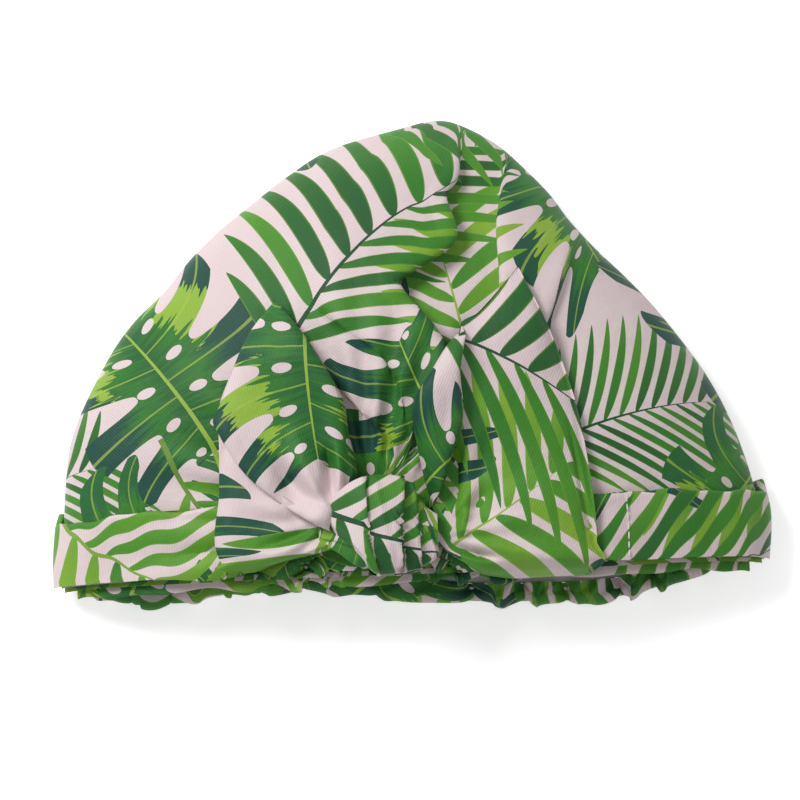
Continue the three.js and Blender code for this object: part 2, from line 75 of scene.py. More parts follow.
# Printed cloth. Fine polyester twill, printed with palm and split leaves on a pale pink ground.
# The print is drawn in the flat cloth's own millimetres, one repeat of the roll at a time.

def linear(hexed):
    """An sRGB hex colour as the linear one that a shader takes."""
    channels = [int(hexed[i : i + 2], 16) / 255 for i in (1, 3, 5)]
    return (*[c / 12.92 if c <= 0.04045 else ((c + 0.055) / 1.055) ** 2.4 for c in channels], 1)


def node(tree, kind, *inputs, stops=(), **settings):
    """Adds a shader node with its settings. Inputs go in order: a socket is linked, None is left."""
    made = tree.nodes.new("ShaderNode" + kind)
    for setting, value in settings.items():
        setattr(made, setting, value)
    for socket, value in zip(made.inputs, inputs):
        if isinstance(value, bpy.types.NodeSocket):
            tree.links.new(value, socket)
        elif value is not None:
            socket.default_value = linear(value) if isinstance(value, str) else value
    if stops:
        ramp = made.color_ramp.elements
        while len(ramp) < len(stops):
            ramp.new(1)
        for element, (position, colour) in zip(ramp, stops):
            element.position = position
            element.color = linear(colour)
    return made.outputs[0] if made.outputs else made


def open_leaf(name, sizes):
    """Starts a leaf's shader group, whose x runs along the leaf from its foot. It gives the inputs,
    and for a point how far along the bent rib it lies, on which side, and how far out."""
    group = bpy.data.node_groups.new(name, "ShaderNodeTree")
    group.interface.new_socket("Point", in_out="INPUT", socket_type="NodeSocketVector")
    group.interface.new_socket("Under", in_out="INPUT", socket_type="NodeSocketColor")
    for size in sizes:
        group.interface.new_socket(size, in_out="INPUT", socket_type="NodeSocketFloat")
    group.interface.new_socket("Colour", in_out="OUTPUT", socket_type="NodeSocketColor")
    on = {socket.name: socket for socket in group.nodes.new("NodeGroupInput").outputs}
    along, across = node(group, "SeparateXYZ", on["Point"]).node.outputs[:2]
    square = node(group, "Math", along, along, operation="MULTIPLY")
    off = node(group, "Math", square, on["Bend"], across, operation="MULTIPLY_ADD")
    side = node(group, "Math", off, operation="SIGN")
    out = node(group, "Math", off, operation="ABSOLUTE")
    return group, on, along, side, out


def counted(group, on, along, side, out, lean):
    """Counts the leaflets along the rib, which leave it at a slant. It gives a point's root on the
    rib, its count, the leaflet's number, and how far the point is off its middle, signed and not."""
    forward = node(group, "Math", out, lean, operation="MULTIPLY")
    root = node(group, "Math", along, forward, operation="SUBTRACT")
    count = node(group, "Math", root, on["Pitch"], operation="DIVIDE")
    count = node(group, "Math", side, 0.25, count, operation="MULTIPLY_ADD")
    leaflet = node(group, "Math", count, operation="ROUND")
    off_axis = node(group, "Math", count, leaflet, operation="SUBTRACT")
    return root, count, leaflet, off_axis, node(group, "Math", off_axis, operation="ABSOLUTE")


# A palm frond: leaflets leave a bent rib on both sides, each widest near a third and pointed.
frond, on, along, side, out = open_leaf("palm_frond", (
    "Length", "Reach", "Pitch", "Fullness", "Lean", "Bend", "Seed", "Stem", "Rib", "Tone",
))
lean = node(frond, "Math", out, -0.005, on["Lean"], operation="MULTIPLY_ADD")
_, _, leaflet, off_axis, gap = counted(frond, on, along, side, out, lean)
pitch_share = node(frond, "Math", on["Pitch"], on["Length"], operation="DIVIDE")
share = node(frond, "Math", leaflet, pitch_share, operation="MULTIPLY")
left_over = node(frond, "Math", 1.0, share, operation="SUBTRACT")
envelope = node(frond, "Math", share, left_over, operation="MULTIPLY")
envelope = node(frond, "Math", envelope, 0.5, operation="POWER")
reach = node(frond, "Math", envelope, on["Reach"], operation="MULTIPLY")
up_leaflet = node(frond, "Math", out, reach, operation="DIVIDE")

# A leaflet's width grows as a power of the way up it and closes to a point, and its green is its own.
widening = node(frond, "Math", up_leaflet, 0.42, operation="POWER")
narrowing = node(frond, "Math", 1.0, up_leaflet, operation="SUBTRACT")
narrowing = node(frond, "Math", narrowing, 0.8, operation="POWER")
width = node(frond, "Math", widening, narrowing, operation="MULTIPLY")
width = node(frond, "Math", width, on["Fullness"], operation="MULTIPLY")
inside = node(frond, "Math", gap, width, operation="LESS_THAN")
label = node(frond, "Math", side, 17.3, leaflet, operation="MULTIPLY_ADD")
label = node(frond, "Math", label, on["Seed"], operation="ADD")
chance = node(frond, "TexWhiteNoise", None, label, noise_dimensions="1D")
streak = node(frond, "Math", off_axis, 62.0, operation="MULTIPLY")
streak = node(frond, "Math", streak, operation="SINE")
shade = node(frond, "Math", streak, 0.03, on["Tone"], operation="MULTIPLY_ADD")
shade = node(frond, "Math", chance, 0.36, shade, operation="MULTIPLY_ADD")
shade = node(frond, "Math", up_leaflet, 0.24, shade, operation="MULTIPLY_ADD")
green = node(frond, "ValToRGB", shade, stops=(
    (0.0, "#1f4c33"), (0.22, "#285f2d"), (0.45, "#3a802b"), (0.7, "#5b9b2d"), (1.0, "#93b93e"),
))
edge = node(frond, "Math", gap, width, operation="DIVIDE")
edge = node(frond, "Math", edge, 0.86, operation="GREATER_THAN")
edge = node(frond, "Math", edge, 0.35, operation="MULTIPLY")
green = node(frond, "MixRGB", edge, green, "#8db545")
laid = node(frond, "MixRGB", inside, on["Under"], green)

# The rib thins towards the tip, and is dark on a dark frond and light on a light one.
thin = node(frond, "Math", along, on["Length"], operation="DIVIDE")
thin = node(frond, "Math", 1.0, thin, operation="SUBTRACT")
thin = node(frond, "Math", thin, on["Rib"], operation="MULTIPLY")
on_rib = node(frond, "Math", out, thin, operation="LESS_THAN")
past_stem = node(frond, "Math", along, on["Stem"], operation="GREATER_THAN")
on_rib = node(frond, "Math", on_rib, past_stem, operation="MULTIPLY")
rib_stops = ((0.1, "#1e4a2c"), (0.3, "#265c2e"), (0.5, "#93b845"))
rib_green = node(frond, "ValToRGB", on["Tone"], stops=rib_stops)
laid = node(frond, "MixRGB", on_rib, laid, rib_green)
frond.links.new(laid, frond.nodes.new("NodeGroupOutput").inputs[0])

# A split leaf: a broad leaf cut between its veins from the edge inwards, with holes beside the rib.
split, on, along, side, out = open_leaf("split_leaf", (
    "Length", "Reach", "Pitch", "Bend", "Seed", "Stem", "Teal", "Patch",
))
share_along = node(split, "Math", along, on["Length"], operation="DIVIDE")
lean = node(split, "Math", share_along, 1.05, -0.4, operation="MULTIPLY_ADD")
root, count, _, off_axis, gap = counted(split, on, along, side, out, lean)
share = node(split, "Math", root, on["Length"], operation="DIVIDE")
left_over = node(split, "Math", 1.0, share, operation="SUBTRACT")
envelope = node(split, "Math", share, left_over, operation="MULTIPLY")
envelope = node(split, "Math", envelope, 0.42, operation="POWER")
reach = node(split, "Math", envelope, on["Reach"], operation="MULTIPLY")
rounding = node(split, "Math", off_axis, off_axis, operation="MULTIPLY")
rounding = node(split, "Math", rounding, 0.75, 1.0, operation="MULTIPLY_ADD")
rounded = node(split, "Math", out, rounding, operation="MULTIPLY")
inside = node(split, "Math", rounded, reach, operation="LESS_THAN")
up_lobe = node(split, "Math", out, reach, operation="DIVIDE")

# Between two lobes a slot is cut, from a place of its own out to the edge, with a hole before it.
slot = node(split, "Math", count, operation="FLOOR")
slot = node(split, "Math", side, 13.7, slot, operation="MULTIPLY_ADD")
slot = node(split, "Math", slot, on["Seed"], operation="ADD")
chance = node(split, "TexWhiteNoise", None, slot, noise_dimensions="1D")
slot_start = node(split, "Math", chance, 0.16, 0.3, operation="MULTIPLY_ADD")
past_start = node(split, "Math", up_lobe, slot_start, operation="SUBTRACT")
slot_width = node(split, "Math", past_start, 0.32, operation="POWER")
slot_width = node(split, "Math", slot_width, 0.3, operation="MULTIPLY")
to_slot = node(split, "Math", 0.5, gap, operation="SUBTRACT")
beside_slot = node(split, "Math", to_slot, slot_width, operation="GREATER_THAN")
hole_up = node(split, "Math", up_lobe, 11.5, -2.4, operation="MULTIPLY_ADD")
hole_across = node(split, "Math", to_slot, 8.5, operation="MULTIPLY")
hole = node(split, "CombineXYZ", hole_up, hole_across)
hole = node(split, "VectorMath", hole, operation="LENGTH").node.outputs["Value"]
beside_hole = node(split, "Math", hole, 1.0, operation="GREATER_THAN")
inside = node(split, "Math", inside, beside_slot, operation="MULTIPLY")
inside = node(split, "Math", inside, beside_hole, operation="MULTIPLY")

# Brushed greens that darken to teal at some leaves' edges, and a yellow green patch on one side.
across_lobe = node(split, "Math", off_axis, 14.0, operation="MULTIPLY")
brush = node(split, "CombineXYZ", up_lobe, across_lobe, slot)
brush = node(split, "TexNoise", brush, None, 1.0, 1.0, noise_dimensions="3D")
shade = node(split, "Math", brush, 0.7, up_lobe, operation="MULTIPLY_ADD")
green = node(split, "ValToRGB", shade, stops=((0.3, "#2a672c"), (0.75, "#3f862b"), (1.2, "#2a6a34")))
teal = node(split, "ValToRGB", shade, stops=((0.35, "#26602f"), (0.68, "#357a2c"), (0.98, "#1c4c3e")))
green = node(split, "MixRGB", on["Teal"], green, teal)
patch = node(split, "Math", share_along, on["Patch"], operation="SUBTRACT")
patch = node(split, "Math", patch, side, operation="MULTIPLY")
patch = node(split, "Math", patch, operation="ABSOLUTE")
patch = node(split, "Math", patch, -0.9, 0.24, operation="MULTIPLY_ADD")
band = node(split, "Math", shade, 0.88, operation="SUBTRACT")
band = node(split, "Math", band, operation="ABSOLUTE")
band = node(split, "Math", band, patch, operation="LESS_THAN")
green = node(split, "MixRGB", band, green, "#93b840")
vein = node(split, "Math", gap, 0.02, operation="LESS_THAN")
vein = node(split, "Math", vein, 0.6, operation="MULTIPLY")
green = node(split, "MixRGB", vein, green, "#a7c254")
laid = node(split, "MixRGB", inside, on["Under"], green)

# The rib, from the stem's foot to the tip.
thin = node(split, "Math", share_along, -0.75, 1.0, operation="MULTIPLY_ADD")
on_rib = node(split, "Math", out, thin, operation="LESS_THAN")
past_stem = node(split, "Math", along, on["Stem"], operation="GREATER_THAN")
before_tip = node(split, "Math", share_along, 1.0, operation="LESS_THAN")
on_rib = node(split, "Math", on_rib, past_stem, operation="MULTIPLY")
on_rib = node(split, "Math", on_rib, before_tip, operation="MULTIPLY")
laid = node(split, "MixRGB", on_rib, laid, "#98b947")
split.links.new(laid, split.nodes.new("NodeGroupOutput").inputs[0])

# One repeat of the roll. Each leaf has its place in mm, its turn in degrees and its own sizes, in
# its group's order; the first ones lie under the later ones.
repeat_width = 300
repeat_length = 250
leaves_on_roll = (
    (split, 126, 46, 205, (58, 62, 12.5, 0.002, 3, -24, 0, 0.5)),
    (split, 229, 170, 308, (68, 70, 14.5, 0.002, 38, -20, 0.8, 0.6)),
    (frond, 185, 58, 96, (92, 104, 11.0, 0.76, 0.7, -0.001, 3.3, -12, 1.0, 0.5)),
    (frond, 221, 28, 28, (92, 84, 6.4, 0.68, 0.9, 0.0022, 6.4, -18, 0.9, 0.12)),
    (split, 54, 58, 118, (76, 82, 14.5, -0.0018, 21, -14, 1, 0.75)),
    (split, 161, 37, 128, (66, 68, 13.5, 0.0026, 33, -19, 1, 0.45)),
    (frond, 80, 87, 66, (116, 128, 11.2, 0.74, 0.8, 0.0035, 4.6, -6, 1.3, 0.12)),
    (split, 299, 246, 60, (50, 56, 11.5, 0.003, 15, -34, 0.1, 0.2)),
    (frond, 39, 51, 300, (76, 78, 9.0, 0.7, 0.9, -0.003, 8.3, -14, 1.0, 0.4)),
    (frond, 130, 33, 330, (98, 108, 11.2, 0.72, 0.75, 0.002, 2.2, -10, 1.1, 0.35)),
    (split, 234, 246, 250, (68, 72, 13.5, 0.002, 11, -24, 0.8, 0.5)),
    (frond, 107, 196, 15, (94, 100, 11.0, 0.76, 0.8, 0.002, 9.2, -12, 1.0, 0.15)),
    (split, 102, 203, 160, (64, 70, 13.0, -0.002, 8, -22, 0.9, 0.3)),
    (frond, 0, 163, 100, (92, 104, 11.2, 0.7, 0.75, 0.0022, 12.4, -12, 1.0, 0.45)),
)
leaf_print = bpy.data.node_groups.new("leaf_print", "ShaderNodeTree")
leaf_print.interface.new_socket("Point", in_out="INPUT", socket_type="NodeSocketVector")
leaf_print.interface.new_socket("Colour", in_out="OUTPUT", socket_type="NodeSocketColor")
on_roll = leaf_print.nodes.new("NodeGroupInput").outputs[0]
mottle = node(leaf_print, "TexNoise", on_roll, None, 0.03, 2.0)
printed = node(leaf_print, "ValToRGB", mottle, stops=((0.3, "#ead8d9"), (0.7, "#e6d1d3")))
half_repeat = Vector((repeat_width / 2, repeat_length / 2, 1))
for leaf, across, up, turned, sizes in leaves_on_roll:
    spot = node(leaf_print, "VectorMath", on_roll, (across, up, 0), operation="SUBTRACT")
    spot = node(leaf_print, "VectorMath", spot, half_repeat, -half_repeat, operation="WRAP")
    spot = node(leaf_print, "VectorRotate", spot, None, None, math.radians(-turned), rotation_type="Z_AXIS")
    printed = node(leaf_print, "Group", spot, printed, *sizes, node_tree=leaf)
leaf_print.links.new(printed, leaf_print.nodes.new("NodeGroupOutput").inputs[0])


def new_material(name):
    """A material with no nodes yet, and its node tree."""
    material = bpy.data.materials.new(name)
    material.use_nodes = True
    material.node_tree.nodes.clear()
    return material, material.node_tree


# Polyester twill with a printed face: soft highlights, a faint sheen and fine slanting ridges, with
# painted shade that darkens the print a little in their grooves. They are 0.3 mm apart on the real
# cloth, and drawn 1 mm apart so that they show. Long soft crumples of about a centimetre lie under them.
twill, tree = new_material("printed_polyester_twill")
on_cloth = node(tree, "UVMap", uv_map="print")
in_mm = node(tree, "VectorMath", on_cloth, (1000, 1000, 1000), operation="MULTIPLY")
colour = node(tree, "Group", in_mm, node_tree=leaf_print)
ridges = node(tree, "TexWave", in_mm, 0.44, 0.5, 1.0, 1.0, bands_direction="DIAGONAL").node.outputs["Fac"]
# painted shade: the print is darkened by up to 11% in the grooves between the ridges
groove_shade = node(tree, "Math", ridges, 0.11, 0.89, operation="MULTIPLY_ADD")
colour = node(tree, "VectorMath", colour, groove_shade, operation="MULTIPLY")
crumple = node(tree, "TexNoise", in_mm, None, 0.09, 3.0, 0.55)
bump = node(tree, "Bump", 0.35, 0.0025, None, crumple)
bump = node(tree, "Bump", 0.3, 0.0002, None, ridges, bump)
fabric = node(tree, "BsdfPrincipled", colour, 0.0, 0.52, 1.5, 1.0, bump)
fabric.node.inputs["Sheen Weight"].default_value = 0.03
fabric.node.inputs["Sheen Roughness"].default_value = 0.4
fabric.node.inputs["Specular IOR Level"].default_value = 0.22
node(tree, "OutputMaterial", fabric)


# Crown. One ring of printed twill, sewn to a blunt point at the top and lying flat on its back.
# Its front is laid in deep knife pleats that run down into the knot; its hem is left open.

def smooth(value, low, high):
    """Rises smoothly from 0 at low to 1 at high."""
    share = np.clip((value - low) / (high - low), 0, 1)
    return share * share * (3 - 2 * share)


def smooth_line(at, through):
    """The value at a place on a smooth line through (place, value) points."""
    places, values = np.array(sorted(through), float).T
    slopes = np.gradient(values, places)
    at = np.clip(at, places[0], places[-1])
    i = np.clip(np.searchsorted(places, at, side="right") - 1, 0, len(places) - 2)
    step = places[i + 1] - places[i]
    t = (at - places[i]) / step
    start = (1 + 2 * t) * (1 - t) ** 2 * values[i] + t * (1 - t) ** 2 * step * slopes[i]
    end = t * t * (3 - 2 * t) * values[i + 1] + t * t * (t - 1) * step * slopes[i + 1]
    return start + end


def s_fold(points, line, drop, lap, width, strength=1.0, lip=0.0, hidden=0.0):
    """Lays an S-shaped fold along a line seen from above: the cloth on the line's left goes under.
    It gives the new places, and how far the print moves on them, with hidden the cloth folded away."""
    steps = np.linspace(0, len(line) - 1, 48)
    through = np.stack([smooth_line(steps, list(enumerate(values))) for values in zip(*line)], axis=1)
    starts, reaches = through[:-1], np.diff(through, axis=0)
    apart = points[..., None, :2] - starts
    along = (apart * reaches).sum(-1) / (reaches**2).sum(-1)
    lowest = np.zeros(len(starts))
    lowest[0] = -100
    highest = np.ones(len(starts))
    highest[-1] = 100
    apart -= np.clip(along, lowest, highest)[..., None] * reaches
    distance = np.hypot(apart[..., 0], apart[..., 1])
    nearest = distance.argmin(-1)[..., None]
    gone = np.take_along_axis(distance, nearest, -1)[..., 0]
    headed = reaches[nearest[..., 0]]
    headed /= np.linalg.norm(headed, axis=-1, keepdims=True)
    apart = np.take_along_axis(apart, nearest[..., None], -2)[..., 0, :]
    leftward = np.stack([-headed[..., 1], headed[..., 0]], axis=-1)
    gone = np.copysign(gone, (apart * leftward).sum(-1))
    t = np.clip(gone / width + 0.5, 0, 1)
    slid = leftward * (lap * strength * np.sin(2 * np.pi * t))[..., None]
    moved = points.copy()
    moved[..., :2] += slid
    moved[..., 2] += drop * strength * (0.5 - smooth(t, 0, 1))
    moved[..., 2] += lip * strength * np.exp(-(((t - 0.16) / 0.14) ** 2)) * (t > 0)
    over = np.array(line[-1]) - line[0]
    across = np.array((-over[1], over[0])) / np.hypot(*over)
    return moved, slid + across * (hidden * smooth(t, 0.25, 0.75))[..., None]


def measured(points, relief=1.0, middle=0.5):
    """Places on the cloth laid flat, for its print, with relief the share of heights that counts."""
    steps = np.diff(points, axis=1)
    sideways = np.cumsum(np.hypot(steps[..., 0], relief * steps[..., 2]), axis=1)
    sideways = np.hstack([np.zeros((len(points), 1)), sideways])
    centre = round(middle * (points.shape[1] - 1))
    sideways += (points[:, centre, 0] - sideways[:, centre])[:, None]
    steps = np.diff(points, axis=0)
    upward = np.cumsum(np.hypot(steps[..., 1], relief * steps[..., 2]), axis=0)
    upward = np.vstack([np.zeros((1, points.shape[1])), upward]) + points[0, :, 1]
    return np.stack([sideways, upward], axis=-1)


def cloth(name, columns, rows, place, material=twill, print_at=(0, 0), print_turn=0):
    """A sheet of cloth: a grid whose vertices place puts, from their shares across and up, in mm.
    place gives the places, and where they are on the flat cloth if that isn't to be measured. The
    flat cloth is turned on the roll of printed cloth, in degrees, and laid at print_at."""
    sheet = bmesh.new()
    bmesh.ops.create_grid(sheet, x_segments=columns - 1, y_segments=rows - 1, size=0.5)
    mesh = bpy.data.meshes.new(name)
    sheet.to_mesh(mesh)
    shares = np.empty(len(mesh.vertices) * 3, np.float32)
    mesh.vertices.foreach_get("co", shares)
    shares = shares.reshape(rows, columns, 3).astype(float) + 0.5
    placed = place(shares[..., 0], shares[..., 1])
    points, flat = placed if isinstance(placed, tuple) else (placed, measured(placed))
    sideways, upward = flat[..., 0], flat[..., 1]
    turn = math.radians(print_turn)
    across = sideways * math.cos(turn) - upward * math.sin(turn) + print_at[0]
    up = sideways * math.sin(turn) + upward * math.cos(turn) + print_at[1]
    corners = np.empty(len(mesh.loops), np.int32)
    mesh.loops.foreach_get("vertex_index", corners)
    on_print = np.stack([across.ravel(), up.ravel()], axis=1)[corners] * mm
    mesh.uv_layers.new(name="print").data.foreach_set("uv", on_print.ravel().astype(np.float32))
    mesh.vertices.foreach_set("co", (points * mm).ravel().astype(np.float32))
    sheet.clear()
    sheet.from_mesh(mesh)
    bmesh.ops.remove_doubles(sheet, verts=sheet.verts, dist=0.02 * mm)
    bmesh.ops.recalc_face_normals(sheet, faces=sheet.faces)
    sheet.to_mesh(mesh)
    sheet.free()
    mesh.shade_smooth()
    mesh.materials.append(material)
    piece = bpy.data.objects.new(name, mesh)
    bpy.context.scene.collection.objects.link(piece)
    return piece


hem_y, top_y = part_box("crown_shell")[0].y / mm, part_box("crown_shell")[1].y / mm
crown_length = top_y - hem_y
knot_x = -12
knot_y = -68
left_outline = (
    (-86, -138.2), (-51, -137.8), (-26.8, -135), (-2.6, -125), (21.4, -109.5), (34, -96.5), (45, -87.6),
    (57, -75.6), (68.7, -61), (80.4, -45.6), (91, -28), (98, -3), (top_y, 17),
)
right_outline = (
    (-86, 138.8), (-61, 138.4), (-36.3, 132.8), (-11.5, 122.8), (11, 108.6), (22.6, 100), (34, 90),
    (45.6, 79), (57, 69.5), (69, 61.5), (80, 52), (91, 41), (98, 30), (top_y, 17),
)
front_share = 0.8  # of the ring's columns, the rest are on the back
side_fold = 9  # the height of the turned edge at the crown's sides
top_fold = 8  # and at its top
crown_rise = 39  # how far the front stands above its edges
# Each pleat: its edge from above, how far the cloth on its left drops, its lap, the cloth hidden in
# it, and the y values between which it deepens at its foot and fades at its top.
pleats = (
    (((26, 96), (23.5, 73), (17.6, 63.6), (21, 47), (14, 39), (-2, 29), (-2, 24), (4, 15), (12, 4),
      (15, -8), (6, -26), (-7, -48)), 12, 5.2, 26, (-46, -6, 76, 106)),
    (((-6, -48), (16, -26), (36, 2), (39, 26), (38.7, 54), (44, 84)), 9, 4.6, 20, (-44, -6, 59, 90)),
    (((84, 62), (70, 44), (57, 12), (38, -18), (8, -50)), 5, 2.6, 10, (-44, 4, 70, 104)),
    (((-7, -36), (-29.5, -10), (-41.6, 8), (-46, 34)), 2.2, 2.2, 0, (-44, -24, 14, 34)),
    (((0, -30), (-7, -6), (-29.5, 14), (-38, 30)), 2.0, 2.0, 0, (-40, -20, 6, 26)),
)
# The outer edge of the gathered casing behind the rear hem, as (x, y) points, and how deep it is.
hem_edge = (
    (-140, -85), (-118, -89.5), (-102.5, -92.6), (-86.8, -90.6), (-71, -88.6), (-55, -88.4), (-39.5, -88.8),
    (-23.7, -90.4), (-8, -93.2), (7.8, -94), (23.6, -96), (39.3, -96.6), (55, -97), (70.8, -97.2),
    (86.6, -95.4), (102.4, -91.6), (118, -86.6), (140, -79),
)
casing_depth = 9.5


def height_share(y):
    """How far up the crown a place lies, from 0 at the hem to 1 at the top."""
    return np.clip((y - hem_y) / crown_length, 0, 1)


def outline_at(outline, y):
    """An outline's x. It is drawn over a place that crowds towards the top, to round it there."""
    crest = 1 - np.sqrt(1 - height_share(y))
    return smooth_line(crest, [(1 - math.sqrt(1 - float(height_share(at))), x) for at, x in outline])


def crown_skin(across, y, sink=0.0, inset=0.0):
    """Places on the ring, which goes from the back's middle round the left side over the front. It
    also says which are on the front, and how far each is arched. A sunk skin has no gathers."""
    left = outline_at(left_outline, y) + inset
    right = outline_at(right_outline, y) - inset
    front = np.abs(across - 0.5) <= front_share / 2
    back_half = (1 - front_share) / 2
    behind = np.where(across < 0.5, -across, 1 - across) / back_half
    turn = np.where(front, (across - 0.5) / (front_share / 2), behind)
    spread = 0.35 * turn + 0.65 * np.sin(turn * math.pi / 2)
    x = (left + right) / 2 + (right - left) / 2 * spread
    h = height_share(y)

    # The front is an arch between the turned side edges, highest over a third of the way up.
    fold = side_fold + (top_fold - side_fold) * h
    under = np.sqrt(1 - spread**2)
    arch = under**0.8 * np.sqrt(1 - h**3)
    rise = crown_rise * (0.72 + 0.28 * smooth(h, 0, 0.38)) - sink * smooth(h, 0, 0.25)

    # A broad ridge and many small gathers run out of the knot and fade away; creases lie everywhere.
    reach = np.hypot(x - knot_x, y - knot_y)
    bearing = np.degrees(np.arctan2(x - knot_x, y - knot_y))
    pleated = smooth(reach, 26, 92) * (1 - smooth(reach, 112, 165))
    ridge = 6 * smooth(bearing, -18.5, -7.5) * pleated
    gathers = np.sin(bearing * 0.62 + 0.8) + 0.7 * np.sin(bearing * 0.37 + 2.1)
    gathers *= 1.6 * smooth(reach, 20, 38) * (1 - smooth(reach, 50, 105))
    creases = 0.7 * np.sin(x / 11 + 1.7 * np.sin(y / 31)) * np.sin(y / 37 + x / 53 + 0.6)
    creases += 0.7 * np.sin((x * 0.8 - y) / 17 + 2.2 * np.sin(x / 41))
    lifted = rise + ridge
    if sink == 0:
        lifted = lifted + gathers + creases
    z_front = fold + lifted * arch
    z_back = np.maximum(0, fold * (1 - 2.2 * np.sqrt(1 - h**12) * under))

    # The hem: the front's rises a little at the right, and the back's follows the gathered casing.
    near_hem = (1 - h) ** 6
    y_front = y + 2.2 * smooth(x, 60, 135) * near_hem
    y_back = y + (smooth_line(x, hem_edge) + casing_depth - hem_y) * near_hem
    y_back = y_back + 5 * (1 - under**0.6) * near_hem
    points = np.stack([x, np.where(front, y_front, y_back), np.where(front, z_front, z_back)], axis=-1)
    return points, front, arch


def place_crown(across, up):
    """The crown's places, and its print, which runs on straight over the folds at its sides."""
    y = top_y - crown_length * (1 - up) ** 2
    points, front, arch = crown_skin(across, y)
    flat = measured(points, relief=0.3)
    for line, drop, lap, hidden, (foot, deep, fading, faded) in pleats:
        held = smooth(y, foot, deep) * (1 - 0.75 * smooth(y, fading, faded))
        strength = front * held * smooth(arch, 0.0, 0.7) * arch
        points, moved = s_fold(points, line, drop, lap, 12, strength, lip=0.1 * drop, hidden=hidden)
        flat += moved * front[..., None]

    # Behind, the print is turned about the side's edge, so that it runs on round it.
    last = front.shape[1] - 1
    for side, edge in (-1, int(front[0].argmax())), (1, last - int(front[0, ::-1].argmax())):
        behind = slice(0, edge) if side < 0 else slice(edge + 1, None)
        way = np.gradient(flat[:, edge], axis=0)
        way /= np.linalg.norm(way, axis=-1, keepdims=True)
        unfolded = np.stack([1 - 2 * way[:, 0] ** 2, -2 * way[:, 0] * way[:, 1]], axis=-1)
        gone = side * np.abs(flat[:, behind, 0] - flat[:, [edge], 0])
        flat[:, behind] = flat[:, [edge]] + gone[..., None] * unfolded[:, None]
    points[..., 2] = np.maximum(points[..., 2], 0)
    return points, flat


crown = cloth("crown", 437, 170, place_crown, print_at=(150, 86))
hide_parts("crown_shell")
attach(crown, "cap")


# Lining. A thin waterproof film of the crown's own cut, white and a little cloudy, which hangs
# loose inside it and is caught in the same hem.

# Extruded film: white with faint clouds, and a soft gloss broken by dimples about 1.5 mm apart.
film, tree = new_material("waterproof_film")
where = node(tree, "TexCoord").node.outputs["Object"]
clouds = node(tree, "TexNoise", where, None, 60.0, 3.0)
white = node(tree, "ValToRGB", clouds, stops=((0.3, "#e9e7e4"), (0.7, "#f4f3f1")))
dimples = node(tree, "TexNoise", where, None, 700.0, 1.0)
bump = node(tree, "Bump", 0.25, 0.0004, None, dimples)
skin = node(tree, "BsdfPrincipled", white, 0.0, 0.34, 1.5, 1.0, bump)
skin.node.inputs["Coat Weight"].default_value = 0.15
skin.node.inputs["Coat Roughness"].default_value = 0.3
node(tree, "OutputMaterial", skin)

# A plan of heights, in square cells from its corner on.
cell = 3.0
plan_cells = (110, 90)
plan_left, plan_foot = 165, 135


def height_map(points, choose, start):
    """The choice of heights, such as the highest, over each cell of the plan, spread and smoothed."""
    heights = np.full(plan_cells, float(start))
    cells = np.round((points[..., :2] + (plan_left, plan_foot)) / cell).astype(int)
    choose.at(heights, (cells[..., 0], cells[..., 1]), points[..., 2])
    for _ in range(2):
        heights = choose.reduce([np.roll(heights, s, axis=a) for a in (0, 1) for s in (-1, 0, 1)])
    for _ in range(5):
        for a in (0, 1):
            heights = (np.roll(heights, 1, axis=a) + 2 * heights + np.roll(heights, -1, axis=a)) / 4
    return heights


def height_at(heights, x, y):
    """The plan's height at a place, between its cells."""
    column, row = (x + plan_left) / cell, (y + plan_foot) / cell
    i, j = np.floor(column).astype(int), np.floor(row).astype(int)
    u, v = column - i, row - j
    low = heights[i, j] * (1 - u) + heights[i + 1, j] * u
    high = heights[i, j + 1] * (1 - u) + heights[i + 1, j + 1] * u
    return low * (1 - v) + high * v


front_places = np.meshgrid(np.linspace(0.11, 0.89, 400), np.linspace(0, 1, 160))
over_lining = height_map(place_crown(*front_places)[0], np.minimum, 60)


def place_lining(across, up):
    """The lining's places, under the crown's lowest folds."""
    y = top_y - 2.0 - (crown_length - 2.2) * (1 - up) ** 2
    points, front, arch = crown_skin(across, y, sink=11, inset=1.6)
    x, z = points[..., 0], points[..., 2]
    hung = z - 1.5 * arch + 1.2 * np.sin(x / 9 + 0.4) * arch * smooth(y, -80, -40)
    hung = np.minimum(hung, np.maximum(height_at(over_lining, x, points[..., 1]) - 1.6, 2 + 6 * arch))
    points[..., 2] = np.where(front, hung, z + 1.0)
    return points


lining = cloth("lining", 221, 90, place_lining, material=film)
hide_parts("crown_lining")
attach(lining, "cap")


# Cuff. A strip of the same twill folded double along its top edge and turned up over the front
# hem, where its raw edges are sewn; it ends round the side folds.

def off_the_crown(across, y, away):
    """A place off the crown's front along its normal, and straight on below the hem."""
    def at(dx, dy):
        spot = crown_skin(across + dx, np.maximum(y, hem_y) + dy)[0]
        spot[..., 1] += np.minimum(y - hem_y, 0)
        return spot

    sideways = at(0.002, 0) - at(-0.002, 0)
    upward = at(0, 1.0) - at(0, 0)
    normal = np.cross(sideways, upward)
    normal /= np.linalg.norm(normal, axis=-1, keepdims=True)
    return at(0, 0) + normal * np.asarray(away)[..., None]


cuff_top_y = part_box("front_cuff")[1].y / mm - 1.8
cuff_foot_y = hem_y + 1.6
cuff_inner = 0.9
cuff_outer = 3.1


